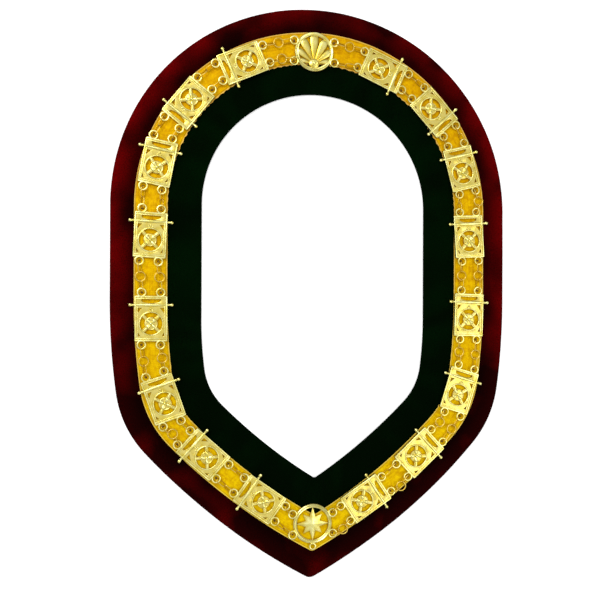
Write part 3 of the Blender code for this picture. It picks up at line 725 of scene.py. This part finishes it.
def torus(bm, radius, wire, place, steps=28, sides=10, flatten=1.0):
    """A round ring of wire lying flat, then carried to its place."""
    before = set(bm.verts)
    circle = bmesh.ops.create_circle(bm, segments=sides, radius=wire / 2,
                                     matrix=Matrix.Translation((radius, 0, 0))
                                     @ Matrix.Rotation(math.pi / 2, 4, "X"))["verts"]
    bmesh.ops.spin(bm, geom=circle + edges_at(circle), cent=(0, 0, 0), axis=(0, 0, 1),
                   angle=math.tau, steps=steps, use_merge=True)
    verts = [vert for vert in bm.verts if vert not in before]
    bmesh.ops.transform(bm, verts=verts, matrix=place @ Matrix.Diagonal((1, 1, flatten, 1)))
    return verts


def bar(bm, start, end, width, low, high, round_off):
    """A straight cast bar with rounded upper edges."""
    along = end - start
    middle = (start + end) / 2
    place = (Matrix.Translation((middle.x, middle.y, (low + high) / 2))
             @ Matrix.Rotation(math.atan2(along.y, along.x), 4, "Z")
             @ Matrix.Diagonal((along.length, width, high - low, 1)))
    verts = bmesh.ops.create_cube(bm, size=1, matrix=place)["verts"]
    top = [vert for vert in verts if vert.co.z > (low + high) / 2]
    edges = [edge for edge in edges_at(top) if all(vert in top for vert in edge.verts)]
    bmesh.ops.bevel(bm, geom=edges, offset=round_off, segments=3, profile=0.5, affect="EDGES",
                    material=-1)


def drop(bm, middle, angle, length, width, level, rise, taper=0.55, blunt=0.0,
         foot=PLATE_BASE + 0.05 * MM):
    """A leaf or petal: a stretched ball that narrows towards its far end. A negative taper
    narrows it towards its near end, and blunt moves its widest part outwards. Its underside
    comes down to the foot."""
    sink = (level - foot) / rise
    place = (Matrix.Translation((middle.x, middle.y, level))
             @ Matrix.Rotation(angle, 4, "Z")
             @ Matrix.Diagonal((length / 2, width / 2, rise, 1)))
    verts = bmesh.ops.create_uvsphere(bm, u_segments=14, v_segments=8, radius=1)["verts"]
    for vert in verts:
        out = vert.co.x if taper > 0 else -vert.co.x
        pinch = 1 - abs(taper) * ((1 + out) / 2) ** 1.5
        vert.co.y *= pinch
        vert.co.z *= pinch if vert.co.z > 0 else pinch * sink
        vert.co.x += blunt * (1 - vert.co.x ** 2)
    bmesh.ops.transform(bm, verts=verts, matrix=place)


def sheet_with_holes(bm, outline, holes, low, high, round_off):
    """A flat sheet with holes cut through it and its upper edges softened."""
    before = set(bm.faces)
    edges = []
    for loop in [outline, *holes]:
        verts = [bm.verts.new((point.x, point.y, low)) for point in loop]
        edges += [bm.edges.new(pair) for pair in zip(verts, verts[1:] + verts[:1])]
    bmesh.ops.triangle_fill(bm, edges=edges, use_beauty=True)
    flat = [face for face in bm.faces if face not in before]
    made = bmesh.ops.extrude_face_region(bm, geom=flat)["geom"]
    risen = [item for item in made if isinstance(item, bmesh.types.BMVert)]
    bmesh.ops.translate(bm, verts=risen, vec=(0, 0, high - low))
    bm.normal_update()
    rim = [edge for edge in edges_at(risen) if all(end in risen for end in edge.verts)
           and any(abs(face.normal.z) < 0.5 for face in edge.link_faces)]
    bmesh.ops.bevel(bm, geom=rim, offset=round_off, segments=2, profile=0.5, affect="EDGES",
                    material=-1)


def arc(middle, radius, first, last, count):
    """Points round an arc, both ends included."""
    return [middle + radius * heading(first + (last - first) * step / count)
            for step in range(count + 1)]


def roundel_gap(turn, middle):
    """One of the gaps round the rosette, between two slanting spokes."""
    half = SPOKE_WIDTH / 2
    outer = math.pi / 4 - math.asin(half / ROUNDEL_RADIUS)
    inner = math.pi / 4 - math.asin(half / ROSETTE_RADIUS)
    return (arc(middle, ROUNDEL_RADIUS, turn - outer, turn + outer, 12)
            + arc(middle, ROSETTE_RADIUS, turn + inner, turn - inner, 7))


def slot_outline(middle_y):
    """The slot under the head bar, its lower side bowed like a boat's keel."""
    half = SLOT_WIDTH / 2
    high = middle_y + SLOT_HEIGHT / 2
    low = middle_y - SLOT_HEIGHT / 2
    keel = [Vector((half * math.cos(turn), high - 1.4 * MM - (high - low - 1.4 * MM)
                    * math.sin(turn))) for turn in [math.pi * step / 14 for step in range(15)]]
    return [Vector((-half, high)), Vector((half, high)), *keel]


def plate_mesh():
    """One pierced casting, its head towards +Y."""
    side = PLATE_WIDTH / 2
    end = PLATE_LENGTH / 2
    slot_y = end - PLATE_BAR - SLOT_HEIGHT / 2
    rod_y = slot_y - SLOT_HEIGHT / 2 - PLATE_BAR / 2
    middle = Vector((0, -ROUNDEL_DROP))
    ground = PLATE_BASE + 1.7 * MM
    crest = PLATE_TOP - 0.15 * MM
    corner = 1.2 * MM
    bm = bmesh.new()
    outline = []
    for x, y, turn in ((1, 1, -math.pi / 2), (1, -1, 0), (-1, -1, math.pi / 2), (-1, 1, math.pi)):
        outline += arc(Vector((x * (side - corner), y * (end - corner))), corner, turn,
                       turn + math.pi / 2, 4)
    # A three-cornered window in each corner of the field below the rod
    windows = [[Vector((hand * x * MM, start + y * MM)) for x, y in corners]
               for hand in (-1, 1) for start, corners in (
                   (rod_y, ((13.6, -3.2), (9.4, -3.2), (13.6, -8.6))),
                   (-end, ((13.6, 5.4), (11.2, 5.4), (13.6, 9.4))))]
    gaps = [roundel_gap(number * math.pi / 2, middle) for number in range(4)]
    sheet_with_holes(bm, outline, [slot_outline(slot_y), *windows, *gaps], PLATE_BASE, ground,
                     0.3 * MM)
    # Raised mouldings: a frame, double bars at head and foot, inner side lines.
    edge = 0.75 * MM
    inner = 2.9 * MM
    for hand in (-1, 1):
        x = hand * (side - edge)
        bar(bm, Vector((x, -end + 0.4 * MM)), Vector((x, end - 0.4 * MM)), 1.5 * MM, PLATE_BASE,
            crest, 0.45 * MM)
        x = hand * (side - inner)
        bar(bm, Vector((x, -end + PLATE_BAR)), Vector((x, rod_y - 1 * MM)), 0.9 * MM, PLATE_BASE,
            ground + 0.55 * MM, 0.3 * MM)
    for hand in (1, -1):
        for inset, width, height in ((0.85, 1.7, crest), (2.9, 1.1, crest - 0.2 * MM)):
            level = hand * (end - inset * MM)
            bar(bm, Vector((-side + 0.5 * MM, level)), Vector((side - 0.5 * MM, level)),
                width * MM, PLATE_BASE, height, 0.35 * MM)
    # The turned rod that lies across under the slot, with a ball at each end.
    rod(bm, Vector((0, rod_y)), PLATE_TOP - 0.6 * MM)
    # The roundel: a moulded rim, a rosette and a ridge along each spoke.
    rim = Matrix.Translation((middle.x, middle.y, ground + 0.1 * MM))
    torus(bm, ROUNDEL_RADIUS + 0.5 * MM, 1.5 * MM, rim, steps=48)
    torus(bm, ROSETTE_RADIUS - 0.35 * MM, 0.8 * MM, rim, steps=32, sides=8)
    for number in range(4):
        turn = (number + 0.5) * math.pi / 2
        out = heading(-turn)
        drop(bm, middle + 3.3 * MM * out, turn, 6.2 * MM, 5.0 * MM, ground, 1.7 * MM, -0.5, 0.3)
        bar(bm, middle + 6 * MM * out, middle + ROUNDEL_RADIUS * out, 1.2 * MM, PLATE_BASE,
            ground + 0.9 * MM, 0.4 * MM)
    ball(bm, middle, 1.7 * MM, ground + 1.1 * MM)
    # A trefoil of beads between the roundel and the rod.
    foot = middle + Vector((0, ROUNDEL_RADIUS + 2.1 * MM))
    for x, y in ((-1.7, 0), (1.7, 0), (0, 1.6)):
        ball(bm, foot + Vector((x, y)) * MM, 1.15 * MM, ground)
    for quarter in QUARTERS:
        lug(bm, quarter * PLATE_EYE, LUG_RADIUS)
    return mesh_of(bm, "plate", sharp=38 * DEG)


def ball(bm, middle, radius, level):
    """A small ball."""
    bmesh.ops.create_uvsphere(bm, u_segments=16, v_segments=10, radius=radius,
                              matrix=Matrix.Translation((middle.x, middle.y, level)))


def rod(bm, middle, level):
    """A turned rod along X with rings near its ends and ball knobs."""
    half = ROD_LENGTH / 2
    knob = 1.9 * MM
    profile = [(0, half)]
    profile += [(knob * math.sin(turn), half - knob + knob * math.cos(turn))
                for turn in [math.pi * step / 8 for step in range(1, 7)]]
    profile += [(radius * MM, half - inset * MM) for radius, inset in (
        (1.0, 4.2), (1.5, 4.6), (1.5, 5.2), (1.0, 5.6))]
    profile += [(1.15 * MM, half * 0.55), (1.9 * MM, half * 0.1), (1.95 * MM, 0)]
    profile += [(radius, -along) for radius, along in reversed(profile[:-1])]
    verts = [bm.verts.new((radius, 0, along)) for radius, along in profile]
    edges = [bm.edges.new(pair) for pair in zip(verts, verts[1:])]
    before = set(bm.verts) - set(verts)
    bmesh.ops.spin(bm, geom=verts + edges, cent=(0, 0, 0), axis=(0, 0, 1), angle=math.tau,
                   steps=14, use_merge=True)
    made = [vert for vert in bm.verts if vert not in before]
    place = (Matrix.Translation((middle.x, middle.y, level - 0.5 * MM))
             @ Matrix.Diagonal((1, 1, 0.85, 1)) @ Matrix.Rotation(math.pi / 2, 4, "Y"))
    bmesh.ops.transform(bm, verts=made, matrix=place)


def lug(bm, eye, radius):
    """A cast ring at the links' level, which bites into the casting beside it."""
    torus(bm, radius, LUG_WIRE, Matrix.Translation((eye.x, eye.y, LINK_LEVEL)), steps=28,
          sides=8, flatten=0.8)


def medallion_rim(bm):
    """The medallion's moulded rim: a bold outer bead, a groove and a fine inner bead."""
    outer = MEDALLION_RADIUS
    inner = outer - MEDALLION_WALL
    profile = [(inner, PLATE_BASE), (outer - 0.3 * MM, PLATE_BASE),
               (outer, PLATE_BASE + 0.5 * MM)]
    profile += [(outer - inset * MM, PLATE_TOP - below * MM) for inset, below in (
        (0, 1.1), (0.5, 0.4), (1.1, 0.1), (1.7, 0.4), (2.2, 0.8), (2.6, 0.9), (3.0, 0.7),
        (3.5, 0.4), (3.9, 0.7))]
    profile.append((inner, PLATE_TOP - 1.2 * MM))
    verts = [bm.verts.new((radius, 0, level)) for radius, level in profile]
    edges = [bm.edges.new(pair) for pair in zip(verts, verts[1:] + verts[:1])]
    bmesh.ops.spin(bm, geom=verts + edges, cent=(0, 0, 0), axis=(0, 0, 1), angle=math.tau,
                   steps=96, use_merge=True)
    for quarter in QUARTERS:
        lug(bm, quarter * MEDALLION_EYE, LUG_RADIUS)


def ridged(bm, outline, low, high, peak, rise):
    """A shape with upright sides whose top rises in facets to one point."""
    before = set(bm.faces)
    verts = [bm.verts.new((point.x, point.y, low)) for point in outline]
    bottom = bm.faces.new(verts)
    made = bmesh.ops.extrude_face_region(bm, geom=[bottom])["geom"]
    risen = [item for item in made if isinstance(item, bmesh.types.BMVert)]
    bmesh.ops.translate(bm, verts=risen, vec=(0, 0, high - low))
    top = [face for face in bm.faces if face not in before
           and all(vert in risen for vert in face.verts)]
    centre = bmesh.ops.poke(bm, faces=top)["verts"][0]
    centre.co = (peak.x, peak.y, high + rise)


def top_medallion_mesh():
    """The nape's medallion: a fan of seven round-ended lobes in the rim."""
    bm = bmesh.new()
    medallion_rim(bm)
    inner = MEDALLION_RADIUS - MEDALLION_WALL
    root = Vector((0, -inner + 4.6 * MM))
    reach = inner + 0.9 * MM
    for number in range(7):
        turn = (number + 0.5) * math.pi / 7
        out = heading(-turn)
        along = -root.dot(out) + math.sqrt(root.dot(out) ** 2 + reach ** 2 - root.length_squared)
        drop(bm, root + out * along * 0.54, turn, along * 0.9, along * 0.38,
             PLATE_BASE + 0.7 * MM, 1.7 * MM, -0.5, 0.5)
        bar(bm, root, root + out * along, 1.6 * MM, PLATE_BASE, PLATE_BASE + 1.5 * MM, 0.3 * MM)
    drop(bm, root, 0, 12 * MM, 11 * MM, PLATE_BASE + 0.6 * MM, 1.8 * MM, 0.01)
    torus(bm, 3.2 * MM, 1.1 * MM, Matrix.Translation((root.x, root.y, PLATE_TOP - 0.6 * MM)),
          steps=28)
    ball(bm, root, 1.9 * MM, PLATE_TOP - 0.9 * MM)
    return mesh_of(bm, "top_medallion", sharp=30 * DEG)


def bottom_medallion_mesh():
    """The point's medallion: a plain star of eight faceted rays, and the jewel's eye."""
    bm = bmesh.new()
    medallion_rim(bm)
    rim = MEDALLION_RADIUS - MEDALLION_WALL + 0.6 * MM
    outline = []
    for number in range(16):
        radius = STAR_WAIST
        if number % 4 == 0:
            radius = rim
        elif number % 4 == 2:
            radius = STAR_SHORT_RAY
        outline.append(radius * heading(number * math.pi / 8))
    ridged(bm, outline, PLATE_BASE, PLATE_BASE + STAR_SIDE, Vector((0, 0)), STAR_RISE)
    eye = Vector((0, -MEDALLION_RADIUS - JEWEL_LUG_RADIUS))
    lug(bm, eye, JEWEL_LUG_RADIUS)
    return mesh_of(bm, "bottom_medallion", sharp=30 * DEG)


def build_castings():
    """All the plates and both medallions."""
    casting = plate_mesh()
    for row in PLATES:
        name = f"gilt_plate_{row.side}_{row.number}"
        piece = show(name, copied(casting, name, standing(on_ribbon(row))), CAST_GILT)
        dress(piece, f"plate_{row.side}_{row.number}")
    top, bottom = medallion_places()
    for name, mesh, place, stands_for in (
            ("palmette_medallion", top_medallion_mesh(), top, "medallion_top"),
            ("star_medallion", bottom_medallion_mesh(), bottom, "medallion_bottom")):
        piece = show(name, copied(mesh, name, standing(place)), CAST_GILT)
        dress(piece, stands_for)


# Strands and stitches


def lug_chain(side):
    """The eyes down one side, as pairs to be joined: outer and inner row of each gap."""
    top, bottom = medallion_places()
    hand = HANDS[side]

    def medallion_eye(place, row):
        """A medallion's eye on this side, in its upper or lower row."""
        return world_point(place, Vector((hand, row)) * MEDALLION_EYE)

    def plate_eyes(place, end, signs):
        """A plate's outer and inner eye at one of its ends."""
        return {name: world_point(place, Vector((sign, end)) * PLATE_EYE)
                for name, sign in signs.items()}

    leave = {"outer": medallion_eye(top, 1), "inner": medallion_eye(top, -1)}
    gaps = []
    for row in PLATES:
        if row.side != side:
            continue
        place = on_ribbon(row)
        near = 1 if row.head_up else -1
        outer = hand if row.head_up else -hand
        signs = {"outer": outer, "inner": -outer}
        gaps.append((leave, plate_eyes(place, near, signs)))
        leave = plate_eyes(place, -near, signs)
    arrive = {"outer": medallion_eye(bottom, -1), "inner": medallion_eye(bottom, 1)}
    gaps.append((leave, arrive))
    return gaps


def flat_place(middle, angle, lean=0.0):
    """Where a link or ring lies, as a matrix."""
    return (Matrix.Translation((middle.x, middle.y, LINK_LEVEL))
            @ Matrix.Rotation(angle, 4, "Z") @ Matrix.Rotation(lean, 4, "X"))


def oval_link(bm, start, end, lean):
    """An oval link of round wire between two points of its wire's middle."""
    along = end - start
    verts = torus(bm, LINK_WIDTH / 2, LINK_WIRE - WIRE_PLAY, Matrix.Identity(4), steps=24,
                  sides=8)
    stretch = (along.length - LINK_WIDTH) / 2
    for vert in verts:
        vert.co.x += math.copysign(min(1, abs(vert.co.x) / (0.3 * MM)), vert.co.x) * stretch
    bmesh.ops.transform(bm, verts=verts, matrix=flat_place(
        (start + end) / 2, math.atan2(along.y, along.x), lean))


def strand_mesh(name, kind, start, end, bow_side):
    """A strand between two eyes, with the same links and rings as its solid has."""
    span = (end - start).length
    along = (end - start).normalized()
    angle = math.atan2(along.y, along.x)
    slack = LUG_RADIUS - LUG_WIRE / 2 - LINK_WIRE / 2 - LINK_PLAY
    links = 1 if kind == "link" else 2
    joint = 2 * RING_RADIUS - LINK_WIRE - RING_WIRE if kind in RINGED else -LINK_WIRE
    bow_side = -bow_side if kind == "tucked" else bow_side
    bowed = span / math.cos(MOST_BOW) if links > 1 else span
    most = links * LINK_LENGTH + (links - 1) * joint
    least = links * SHORTEST_LINK + (links - 1) * joint
    whole = max(min(most, bowed + 2 * slack), span - 2 * slack, least)
    length = (whole - (links - 1) * joint) / links
    ends = max(-slack, (span - whole) / 2)
    half = whole / 2 + ends
    bow = math.sqrt(max(half ** 2 - (span / 2) ** 2, 0))
    apex = (start + end) / 2 + Vector((-along.y, along.x)) * bow * bow_side

    def walk(distance):
        """A point on the strand's way from start over the apex to end."""
        if distance < half:
            return start.lerp(apex, distance / half)
        return apex.lerp(end, distance / half - 1)

    bm = bmesh.new()
    for number in range(links):
        leave = ends + number * (length + joint)
        lean = LINK_LEAN if number % 2 else -LINK_LEAN
        oval_link(bm, walk(leave), walk(leave + length), lean)
        if kind in RINGED and number + 1 < links:
            torus(bm, RING_RADIUS, RING_WIRE - WIRE_PLAY,
                  flat_place(walk(leave + length + joint / 2), angle), steps=36)
    return mesh_of(bm, name)


def build_strands():
    """Every strand of links."""
    eyes = {side: lug_chain(side) for side in HANDS}
    for row in STRANDS:
        leave, arrive = eyes[row.side][row.gap - 1]
        hand = HANDS[row.side]
        for place, kind, out in (("outer", row.outer, hand), ("inner", row.inner, -hand)):
            name = f"links_{row.side}_{row.gap}_{place}"
            mesh = strand_mesh(name, kind, leave[place], arrive[place], out)
            dress(show(name, mesh, WIRE_GILT), f"chain_{row.side}_{row.gap}_{place}")


def build_stitches():
    """A knot of thread in every eye, where the chain is sewn down to the ribbon."""
    eyes = [world_point(place, quarter * MEDALLION_EYE)
            for place in medallion_places() for quarter in QUARTERS]
    eyes += [world_point(on_ribbon(row), quarter * PLATE_EYE)
             for row in PLATES for quarter in QUARTERS]
    bm = bmesh.new()
    for number, eye in enumerate(eyes):
        # Two stitches cross in each knot, and no two knots lie alike.
        turn = number * 2.4
        for lean in (0, 1.9):
            drop(bm, eye, turn + lean, 3.4 * MM, 1.5 * MM, RIBBON_TOP + 0.1 * MM, 0.55 * MM,
                 0.2, foot=RIBBON_TOP - 0.45 * MM)
    knots = show("sewing_knots", mesh_of(bm, "sewing_knots"), THREAD)
    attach(knots, "root")


# Studio

# The camera's lens in millimetres, where it stands, its lean and its two small turns
CAMERA_LENS = 42
CAMERA_SPOT = Vector((-141.2, -11.1, 759.8)) * MM
CAMERA_LEAN = -9.32 * DEG
CAMERA_TURN = 0.21 * DEG
# The floor's half width, and its level, which is just under the cloth
FLOOR_HALF = 6
FLOOR_LEVEL = -0.3 * MM


def build_camera():
    """The photo was taken from a little to the left of straight above."""
    data = bpy.data.cameras.new("camera")
    data.sensor_width = 36
    data.lens = CAMERA_LENS
    thing = put("camera", data)
    turn = (Matrix.Rotation(CAMERA_TURN, 4, "Z") @ Matrix.Rotation(CAMERA_LEAN, 4, "Y")
            @ Matrix.Rotation(CAMERA_TURN, 4, "X"))
    thing.matrix_world = Matrix.Translation(CAMERA_SPOT) @ turn
    bpy.context.scene.camera = thing


def soft_light(name, spot, size, power):
    """A square softbox that faces the collar."""
    data = bpy.data.lights.new(name, "AREA")
    data.size = size
    data.energy = power
    thing = put(name, data)
    thing.location = spot
    thing.rotation_mode = "QUATERNION"
    thing.rotation_quaternion = Vector(spot).to_track_quat("Z", "Y")


def build_studio():
    """A white table, a bright sky of light that falls off to the horizon, and two softboxes."""
    bm = bmesh.new()
    bmesh.ops.create_grid(bm, x_segments=1, y_segments=1, size=FLOOR_HALF)
    bmesh.ops.translate(bm, verts=bm.verts, vec=(0, 0, FLOOR_LEVEL))
    # White paper, which sends back 93 percent of the light. It glows a little, as the photo's
    # ground is burnt out.
    paper, *_ = start_material("white_paper", Roughness=0.9, Specular_IOR_Level=0.1,
                               Base_Color=(0.93, 0.93, 0.93, 1), Emission_Color=(1, 1, 1, 1),
                               Emission_Strength=0.3)
    show("floor", mesh_of(bm, "floor"), paper)
    world = bpy.data.worlds.new("studio")
    bpy.context.scene.world = world
    world.use_nodes = True
    tree = world.node_tree
    background = tree.nodes["Background"]
    where = node(tree, "ShaderNodeTexCoord")
    parts = node(tree, "ShaderNodeSeparateXYZ", {"Vector": where.outputs["Generated"]})
    sky = node(tree, "ShaderNodeValToRGB", {"Fac": parts.outputs["Z"]},
               [(0.0, 0.42), (0.55, 0.56), (0.9, 0.95), (1.0, 1.0)])
    tree.links.new(sky.outputs["Color"], background.inputs["Color"])
    background.inputs["Strength"].default_value = 0.95
    soft_light("key", (-0.9, 0.9, 1.3), 1.0, 18)
    soft_light("fill", (1.1, -0.5, 1.4), 1.2, 7)
    bpy.context.scene.view_settings.view_transform = "Standard"


build_camera()
build_cloth()
build_castings()
build_strands()
build_stitches()
build_studio()

bpy.context.view_layer.update()
